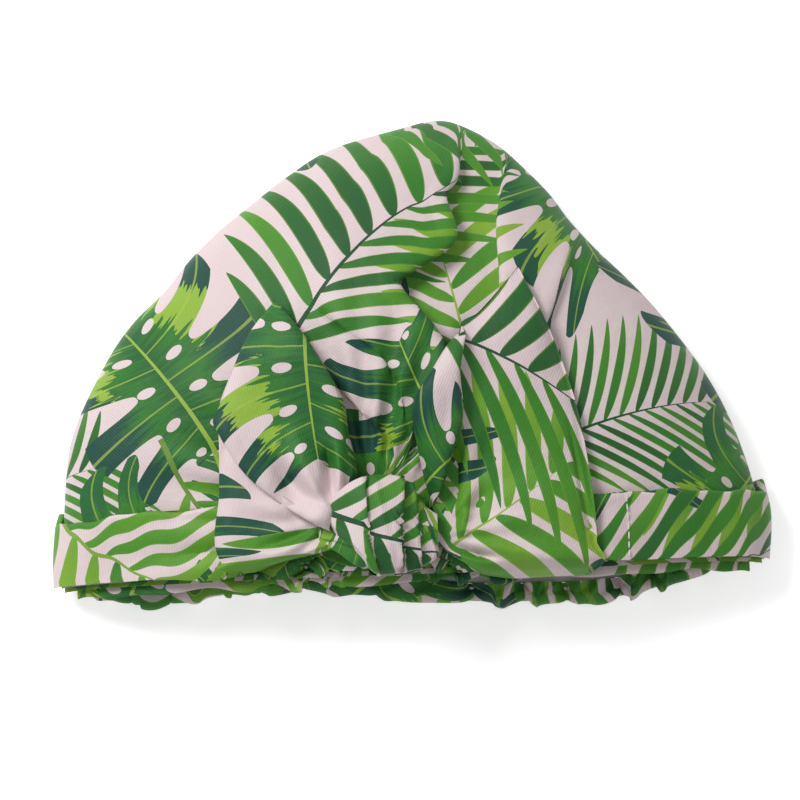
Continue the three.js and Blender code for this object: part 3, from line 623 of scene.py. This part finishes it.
def place_cuff(across, up):
    """The cuff's places, from its inner raw edge over the fold at its top to its outer one."""
    ring = 0.5 + (across - 0.5) * (front_share + 0.012)
    roll = (cuff_outer - cuff_inner) / 2
    turn = np.clip((up - 0.47) / 0.06, 0, 1) * math.pi
    height = cuff_top_y - roll - cuff_foot_y - 2.4 * smooth(0.25 - across, 0, 0.2)
    climb = np.where(up < 0.5, np.minimum(up / 0.47, 1), np.minimum((1 - up) / 0.47, 1))
    outer = up > 0.5
    wander = 0.5 * np.sin(across * 41 + 0.7) + 0.35 * np.sin(across * 97)
    y = cuff_foot_y + height * climb + roll * np.sin(turn) + wander * climb
    swell = 0.55 * np.sin(across * 63 + 2 * climb) + 0.45 * np.sin(across * 29 - 3 * climb + 1)
    swell += 0.5 * np.sin(math.pi * climb)
    away = cuff_inner + roll * (1 - np.cos(turn)) + np.where(outer, 0.9, 0.25) * (swell + 0.7)
    points = off_the_crown(ring, y, away)
    return points, measured(points, relief=0.1)


cuff = cloth("front_cuff_band", 360, 48, place_cuff, print_at=(36, 70), print_turn=52)
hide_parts("front_cuff")
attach(cuff, "cap")


# Front facing. The hem's own turning: a narrow strip folded double inside the lining, which
# shows as one more edge under the cuff.

facing_top_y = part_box("front_hem_facing")[1].y / mm


def place_facing(across, up):
    """The facing's places, from its inner edge down round the hem's fold and up again."""
    ring = 0.5 + (across - 0.5) * front_share * 0.93
    turn = np.clip((up - 0.46) / 0.08, 0, 1) * math.pi
    climb = np.where(up < 0.5, np.minimum(up / 0.46, 1), np.minimum((1 - up) / 0.46, 1))
    foot = hem_y - 2.8 + 0.5 * np.sin(across * 53) + 0.4 * np.sin(across * 23 + 1)
    y = facing_top_y + (foot - facing_top_y) * climb - 0.5 * np.sin(turn)
    return off_the_crown(ring, y, -3.6 + 0.5 * (1 - np.cos(turn)))


facing = cloth("front_hem_facing_strip", 240, 30, place_facing, print_at=(40, 30))
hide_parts("front_hem_facing")
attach(facing, "cap")


# Rear casing. The back hem turned over on itself into a tunnel, and pulled into ruffles by the
# elastic inside it.

casing_top_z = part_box("rear_casing")[1].z / mm - 0.4
casing_reach = 133.5
hem_reach = 139
puff_count = 15


def casing_path(across):
    """Along the casing: its x, its puffs, which are broad with pinched valleys, and its ends' fade."""
    x = casing_reach * (0.25 * (2 * across - 1) + 0.75 * np.sin((across - 0.5) * math.pi))
    phase = puff_count * across + 0.3 * np.sin(across * 17 + 1) + 0.16 * np.sin(across * 41)
    puff = np.abs(np.sin(math.pi * phase)) ** 0.42
    return x, puff, phase, smooth(np.minimum(across, 1 - across), 0.0, 0.05)


def place_casing(across, up):
    """The casing's places, from the hem under to the outer edge and back over the elastic."""
    x, puff, phase, ends = casing_path(across)
    under = np.sqrt(np.clip(1 - (x / hem_reach) ** 2, 0, 1))
    edge = smooth_line(x, hem_edge)
    hem = edge + casing_depth + 5 * (1 - under**0.6)

    # The puffs are bigger at the right; between them the elastic pinches the tunnel in and flat.
    bigger = 0.55 + 0.75 * smooth(x, -40, 20)
    pinch = (1 - puff) * ends * bigger
    edge = edge + 3.4 * pinch + 0.7 * np.sin(2 * math.pi * phase * 1.37) * ends

    # The strip runs out flat underneath, rolls round at the edge and comes back over the elastic.
    turn = np.clip((up - 0.40) / 0.16, 0, 1) * math.pi
    out = np.where(up < 0.48, np.minimum(up / 0.40, 1), np.minimum((1 - up) / 0.44, 1))
    radius = casing_top_z * 0.5 * (0.5 + 0.5 * ends)
    y = hem - 0.4 + (edge + radius - hem) * out - radius * np.sin(turn)
    z = 0.2 + radius * (1 - np.cos(turn))
    top = smooth(up, 0.44, 0.6)
    wrinkle = np.sin(2 * math.pi * phase * 2.6 + 3 * out) + 0.6 * np.sin(2 * math.pi * phase * 4.3 + 1)
    z = z - top * (6.4 * pinch + 0.4 * wrinkle * ends * bigger)
    x = x + (1.7 * np.sin(2 * math.pi * phase + 0.9) + 0.4 * np.sin(2 * math.pi * 2.6 * phase)) * ends * out
    points = np.stack([x, y, np.maximum(z, 0.1)], axis=-1)
    return points, measured(points, relief=0.4)


casing = cloth("rear_casing_ruffle", 700, 34, place_casing, print_at=(78, 80), print_turn=88)
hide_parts("rear_casing")
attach(casing, "cap")


# Elastic. A flat woven band of white polyester over rubber, stretched a little and left loose inside
# the casing. The ribs of its weave are drawn 1.2 mm apart, coarser than they are, so that they show.

# Woven polyester over rubber threads: dull white with a faint sheen, and ribs across its length,
# with painted shade greying the white between the ribs and random tone from the yarn.
webbing, tree = new_material("woven_elastic_band")
where = node(tree, "TexCoord").node.outputs["Object"]
ribs = node(tree, "TexWave", where, 262.0, 0.5, 1.0, 1.0, bands_direction="X").node.outputs["Fac"]
yarn = node(tree, "TexNoise", where, None, 900.0, 2.0)
# painted shade: the white turns greyer in the troughs between the ribs; the yarn noise is random tone
shade = node(tree, "Math", ribs, 0.6, yarn, operation="MULTIPLY_ADD")
white = node(tree, "ValToRGB", shade, stops=((0.3, "#cfcdc8"), (1.0, "#f2f1ee")))
bump = node(tree, "Bump", 0.6, 0.0004, None, shade)
band = node(tree, "BsdfPrincipled", white, 0.0, 0.8, 1.5, 1.0, bump)
band.node.inputs["Sheen Weight"].default_value = 0.2
node(tree, "OutputMaterial", band)
elastic_width = 5.5
elastic_z = 1.9


def place_elastic(across, up):
    """The band's places, flat in the casing and along its curve."""
    x = casing_reach * 0.93 * np.sin((across - 0.5) * math.pi)
    y = smooth_line(x, hem_edge) + 2.2 + elastic_width * up
    return np.stack([x, y, elastic_z + 0.3 * np.sin(across * 60)], axis=-1)


elastic = cloth("rear_elastic_band", 200, 5, place_elastic, material=webbing)
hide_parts("rear_elastic")
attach(elastic, "cap")


# Knot. A short strip of twill wound round the middle of the tie and sewn behind it. Its turns lie
# over one another from left to right, and its left end is rolled in.

knot_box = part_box("knot_wrap")
knot_z = (knot_box[0].z + knot_box[1].z) / 2 / mm
knot_thick = (knot_box[1].z - knot_box[0].z) / 2 / mm
knot_left = (
    (-88, -14), (-87, -15.5), (-82.7, -18.5), (-76.3, -24), (-69.4, -31), (-61.4, -32), (-55.2, -27),
    (-52.6, -23), (-50.6, -17), (-49.8, -13),
)
knot_right = (
    (-88, -7), (-87.2, -2), (-83.5, 7.2), (-74, 8.8), (-64.3, 6.8), (-56.1, 2.4), (-51.6, -2), (-49.8, -8),
)
# Each turn's edge, as (y, x) points, and how far the next turn lies under it.
knot_turns = (
    (((-88, -13), (-82.7, -14.8), (-70, -16.4), (-53.2, -16.8), (-49, -16)), 1.3, 1.2),
    (((-88, -4.6), (-68.4, -4.0), (-49, -3.2)), 3.4, 2.2),
    (((-88, 3.4), (-76, 2.9), (-61, 2.2), (-49, 0.6)), 1.3, 1.2),
)


def place_knot(across, around):
    """The knot's places, round the tie's middle, with a step down at each turn's edge."""
    turn = 2 * math.pi * around - math.pi / 2
    lengthwise = np.sign(np.cos(turn)) * np.abs(np.cos(turn)) ** 0.62
    upright = np.sign(np.sin(turn)) * np.abs(np.sin(turn)) ** 0.34
    y = (knot_left[0][0] + knot_left[-1][0]) / 2 + (knot_left[-1][0] - knot_left[0][0]) / 2 * lengthwise
    left, right = smooth_line(y, knot_left), smooth_line(y, knot_right)
    flat_x = left + (right - left) * (across - 0.06 * np.sin(2 * math.pi * across))
    x, height, moved = flat_x, np.zeros_like(flat_x), np.zeros_like(flat_x)
    top = smooth(np.sin(turn), 0.0, 0.25)
    for edge, step, lap in knot_turns:
        t = np.clip((flat_x - smooth_line(y, edge)) / 2.6 + 0.5, 0, 1)
        x = x + lap * np.sin(2 * math.pi * t) * top
        height = height - step * smooth(t, 0.2, 0.8) + 0.5 * np.exp(-(((t - 0.16) / 0.15) ** 2))
        moved = moved + 5 * t

    # It falls away to its sides, a soft crease slants over its middle, and its ends are drawn down.
    height = height - 6.5 * smooth(-17 - flat_x, 0, 16) ** 0.9 - 3.2 * smooth(flat_x, -2, 9)
    height = height + 0.5 * np.exp(-(((flat_x + 10 + (y + 70) / 6) / 1.6) ** 2))
    height = height - 1.6 * smooth(-y, 76, 88) - 1.2 * smooth(y, -58, -49.8)
    ends = 1 - smooth(np.abs(across - 0.5), 0.42, 0.5) ** 1.5 * 0.4
    z = knot_z + (knot_thick - 0.6) * ends * upright + (height + 0.4) * top
    points = np.stack([x, y, z], axis=-1)
    flat = measured(points, relief=0.3)
    flat[..., 0] += moved
    return points, flat


knot = cloth("knot_wrap_strip", 260, 97, place_knot, print_at=(97, 146), print_turn=34)
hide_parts("knot_wrap")
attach(knot, "cap")


# Tie. The middle of the bow's own strip, gathered tight inside the knot.

tie_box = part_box("bow_tie_middle")
tie_left, tie_right = tie_box[0].x / mm, tie_box[1].x / mm


def place_tie(across, around):
    """The tie's places: a fluted roll of cloth, drawn in and shut at its ends."""
    turn = 2 * math.pi * around
    x = tie_left + 6 + (tie_right - tie_left - 8) * across
    outward = np.abs(across - 0.55) / 0.55
    flute = 1 + 0.10 * np.sin(7 * turn + 3 * across) + 0.05 * np.sin(13 * turn)
    half_length = 14 - 8.5 * smooth(outward, 0.3, 0.9)
    half_height = 6.0 - 3.6 * smooth(outward, 0.3, 0.9)
    shut = np.sqrt(np.clip(1 - np.clip((outward - 0.86) / 0.14, 0, 1) ** 2, 0.0, 1))
    y = knot_y - 3 + 0.5 * (across < 0.5) + half_length * flute * shut * np.cos(turn)
    z = knot_z - 1.2 - 2.0 * smooth(outward, 0.5, 1.0) + half_height * flute * shut * np.sin(turn)
    return np.stack([x, y, z], axis=-1)


tie = cloth("bow_tie_gathers", 60, 133, place_tie, print_at=(30, 60))
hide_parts("bow_tie_middle")
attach(tie, "cap")


# Tails. The two ends of the tie, each a flat double leaf of twill sewn round its edge and turned
# out. They are pinched at the knot and lie over the cap with a fold in each.

cap_places = []
for under in (crown, cuff):
    places = np.empty(len(under.data.vertices) * 3, np.float32)
    under.data.vertices.foreach_get("co", places)
    cap_places.append(places.reshape(-1, 3) / mm)
cap_map = height_map(np.concatenate(cap_places), np.maximum, 0)


def make_tail(name, left, right, foot, tip, skew, pinch, fold, furrows, print_at, print_turn):
    """One tail from its sides as (y, x) points, its foot's and tip's y, and where it is pinched.
    Its fold has a line, a drop, a lap and the cloth hidden in it. A furrow runs from its shallow end
    to its deep one, with its depth and its half width, in mm; one of negative depth is a ridge."""

    def place(around, up):
        """The tail's places: its upper ply over the first half of the way around, then its lower."""
        spread = -np.cos(2 * math.pi * around)
        top = around <= 0.5
        y = foot + (tip - foot) * (0.55 * up + 0.225 * (1 - np.cos(math.pi * up)))
        sides = smooth_line(y, left), smooth_line(y, right)
        closing = np.sqrt(np.clip(1 - (1 - np.clip((y - foot) / 7, 0, 1)) ** 2, 0, 1))
        closing = closing * np.clip((tip - y) / 26, 0, 1) ** 0.5
        middle, half = (sides[0] + sides[1]) / 2, (sides[1] - sides[0]) / 2
        x = middle + half * spread

        # It lies on the cap, plump inside its seam, and rises to the knot where it is gathered.
        y = y + skew * (x - middle) * (1 - smooth(y, foot, foot + 30))
        plump = (1 - np.abs(spread) ** 5) ** 0.5
        thick = 7.4 * closing * plump
        from_pinch = np.hypot(x - pinch[0], (y - pinch[1]) * 0.8)
        gathered = np.exp(-((from_pinch / 26) ** 2))
        bottom = height_at(cap_map, x, y) + 1.0 + 1.2 * (1 - plump)
        bottom = bottom + (pinch[2] - 5 - bottom) * gathered
        z = bottom + thick * np.where(top, 1.0, 0.06)

        # Small folds run out of the pinch, and slack cloth and furrows lie beyond them.
        bearing = np.degrees(np.arctan2(x - pinch[0], y - pinch[1]))
        rays = np.sin(bearing * 0.16 + 1.0) + 0.6 * np.sin(bearing * 0.31 + 0.5)
        rays *= 1.1 * smooth(from_pinch, 2, 12) * (1 - smooth(from_pinch, 14, 48))
        slack = 0.7 * np.sin((x * 0.9 + y * 0.5) / 9 + 1.4 * np.sin(y / 19)) * smooth(from_pinch, 25, 50)
        for start, end, depth, width in furrows:
            start, reach = np.array(start), np.subtract(end, start)
            apart = np.stack([x, y], axis=-1) - start
            t = np.clip((apart * reach).sum(-1) / (reach**2).sum(), 0, 1)
            apart = np.linalg.norm(apart - t[..., None] * reach, axis=-1)
            beside = np.exp(-((apart / (width * (0.35 + 0.65 * t))) ** 2))
            slack = slack - depth * smooth(t, 0, 0.6) * beside
        sunk = z + (rays + slack) * plump * closing
        z = np.where(top, np.maximum(sunk, bottom + 0.14 * thick), z)
        points = np.stack([x, y, z], axis=-1)
        flat = measured(points, relief=0.2, middle=0.25)
        line, drop, lap, hidden = fold
        strength = top * smooth(plump * closing, 0.0, 0.55)
        points, moved = s_fold(points, line, drop, lap, 9, strength, lip=0.7, hidden=hidden)
        return points, flat + moved * top[..., None]

    tail = cloth(name, 241, 150, place, print_at=print_at, print_turn=print_turn)
    return tail


left_tail = make_tail(
    "bow_tail_left_cloth",
    left=((-84, -66), (-83.4, -71), (-79, -73.8), (-52.5, -73.8), (-38.5, -73.4), (-17.4, -72.2),
          (-6, -67.5), (9.9, -59.9), (21.4, -50.4)),
    right=((-84, -60), (-81.5, -51), (-79.6, -40), (-77.6, -31), (-66, -27), (-55, -22.5), (-48.6, -20),
           (-42.7, -20.6), (-32, -22.8), (-20.6, -24.2), (-7, -30.7), (9.2, -40.5), (21.4, -49.6)),
    foot=-84,
    tip=21.4,
    skew=0.04,
    pinch=(-28, -66, 54),
    fold=(((-24, -72), (-40, -64.2), (-62, -46), (-76, -22)), 5.0, 3.6, 36),
    furrows=(((-54, -40), (-40, -60), 6.2, 6.5), ((-46, -26), (-34, -57), -4.2, 6.5),
             ((-31, -34), (-30.5, -56), 4.6, 3.2), ((-47, -57), (-31, -64.5), -3.6, 2.6),
             ((-62, -76), (-34, -70), 3.0, 4.0)),
    print_at=(4, 66),
    print_turn=214,
)
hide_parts("bow_tail_left")
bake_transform(left_tail)

right_tail = make_tail(
    "bow_tail_right_cloth",
    left=((-90.2, 44), (-89.4, 38), (-88, 29.5), (-83.1, 20.1), (-77, 11.5), (-63.5, 9), (-51.7, 5.9),
          (-40, 3.7), (-29.4, 2.1), (-20.4, 3.2), (-12.7, 8.3), (1.1, 17.6), (8.1, 23.6), (21.8, 36.7),
          (31.5, 44.9)),
    right=((-90.2, 60), (-89.6, 66), (-88, 70.2), (-77.2, 71.2), (-57.9, 70.4), (-42, 68.6), (-26.1, 66),
           (1.3, 58.2), (14, 53.2), (24.2, 48.7), (31.5, 45.5)),
    foot=-89.4,
    tip=31.5,
    skew=0.02,
    pinch=(8, -73, 53),
    fold=(((25, 16), (22, 2), (19.5, -12), (20, -28), (15.5, -42), (8, -62), (3, -76)), 5.4, 3.4, 27),
    furrows=(((20.5, -28), (10.5, -72), 9.0, 5.6), ((36, -83), (16, -79), 5.4, 2.6),
             ((31, -28), (27, -62), 3.6, 6.0), ((24, -58), (18, -73), -3.0, 3.0),
             ((61, -24), (68.4, -72), 2.4, 1.5), ((62, -86), (26, -76), -2.4, 5.0)),
    print_at=(88, 84),
    print_turn=70,
)
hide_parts("bow_tail_right")
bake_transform(right_tail)


# Tacks. The ends of the cuff's topstitching and a few hand stitches, in white polyester thread.

# Spun polyester thread: matt white, with its plies as slanting bands about 0.7 mm apart, and
# painted shade greying the white in the grooves between them.
thread, tree = new_material("spun_polyester_thread")
where = node(tree, "TexCoord").node.outputs["Object"]
plies = node(tree, "TexWave", where, 520.0, 0.0, 1.0, 1.0, bands_direction="DIAGONAL").node.outputs["Fac"]
# painted shade: the white turns greyer in the grooves between the plies
white = node(tree, "ValToRGB", plies, stops=((0.0, "#d9d6d2"), (1.0, "#f6f5f3")))
bump = node(tree, "Bump", 0.5, 0.0002, None, plies)
strand = node(tree, "BsdfPrincipled", white, 0.0, 0.6, 1.5, 1.0, bump)
strand.node.inputs["Sheen Weight"].default_value = 0.15
node(tree, "OutputMaterial", strand)

stitch_x = 99.5
hem_half_width = 141.5
ring_spread = 0.94  # the front's columns lie this much closer to its middle than on an even turn
stitch_ring = 0.5 + front_share / 2 * (2 / math.pi) * math.asin(stitch_x / hem_half_width) * ring_spread
stitch_count = 7
stitch_step = 3.7
stitch_length = 3.1
thread_radius = 0.35
stitches = bmesh.new()
for step in range(stitch_count):
    foot = cuff_foot_y + 1.2 + stitch_step * step
    ends = []
    for y in (foot, foot + stitch_length):
        at = np.array([stitch_ring]), np.array([y]), np.array([cuff_outer + 1.7])
        ends.append(Vector(off_the_crown(*at)[0]) * mm)
    sphere = bmesh.ops.create_uvsphere(stitches, u_segments=8, v_segments=6, radius=thread_radius * mm)
    made = sphere["verts"]
    reach = ends[1] - ends[0]
    bmesh.ops.scale(stitches, verts=made, vec=(1, 1, reach.length / (2 * thread_radius * mm)))
    turned = reach.to_track_quat("Z", "Y").to_matrix()
    bmesh.ops.rotate(stitches, verts=made, cent=(0, 0, 0), matrix=turned)
    bmesh.ops.translate(stitches, verts=made, vec=(ends[0] + ends[1]) / 2)
mesh = bpy.data.meshes.new("cuff_tacks")
stitches.to_mesh(mesh)
stitches.free()
mesh.shade_smooth()
mesh.materials.append(thread)
tacks = bpy.data.objects.new("cuff_tacks", mesh)
bpy.context.scene.collection.objects.link(tacks)
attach(tacks, "cap")


# Studio. A white sweep under the cap, a soft lamp from its upper left and an even white room.

def seen_directly(tree):
    """Whether a ray is the camera's own, or reached it by gloss or through glass."""
    seen = node(tree, "LightPath").node.outputs
    direct = node(tree, "Math", seen["Is Camera Ray"], seen["Is Glossy Ray"], operation="MAXIMUM")
    return node(tree, "Math", direct, seen["Is Transmission Ray"], operation="MAXIMUM")


sweep = bmesh.new()
bmesh.ops.create_grid(sweep, x_segments=1, y_segments=1, size=3)
bmesh.ops.translate(sweep, verts=sweep.verts, vec=(0, 0, -0.0004))
mesh = bpy.data.meshes.new("floor")
sweep.to_mesh(mesh)
sweep.free()

# Matt paper with a fine grain, which also shines a little where it is seen, so that it is white.
paper, tree = new_material("white_paper_sweep")
direct = seen_directly(tree)
grain = node(tree, "TexNoise", node(tree, "TexCoord").node.outputs["Object"], None, 400.0, 2.0)
white = node(tree, "ValToRGB", grain, stops=((0.0, "#f4f4f4"), (1.0, "#f8f8f8")))
matte = node(tree, "BsdfPrincipled", white, 0.0, 0.9)
glow = node(tree, "Math", direct, 0.55, operation="MULTIPLY")
glow = node(tree, "Emission", "#ffffff", glow)
node(tree, "OutputMaterial", node(tree, "AddShader", matte, glow))
mesh.materials.append(paper)
floor = bpy.data.objects.new("floor", mesh)
bpy.context.scene.collection.objects.link(floor)

lamp = bpy.data.objects.new("key_lamp", bpy.data.lights.new("key_lamp", "AREA"))
bpy.context.scene.collection.objects.link(lamp)
lamp.location = (-0.75, 0.6, 1.1)
lamp.rotation_mode = "QUATERNION"
lamp.rotation_quaternion = (Vector((0, 0, 0.03)) - lamp.location).to_track_quat("-Z", "Y")
lamp.data.size = 0.5
lamp.data.energy = 13.8

world = bpy.data.worlds.new("white_room")
bpy.context.scene.world = world
world.use_nodes = True
tree = world.node_tree
tree.nodes.clear()
room = node(tree, "Background", "#ffffff", 0.4)
backdrop = node(tree, "Background", "#ffffff", 1.0)
node(tree, "OutputWorld", node(tree, "MixShader", seen_directly(tree), room, backdrop))
bpy.context.scene.view_settings.view_transform = "Standard"
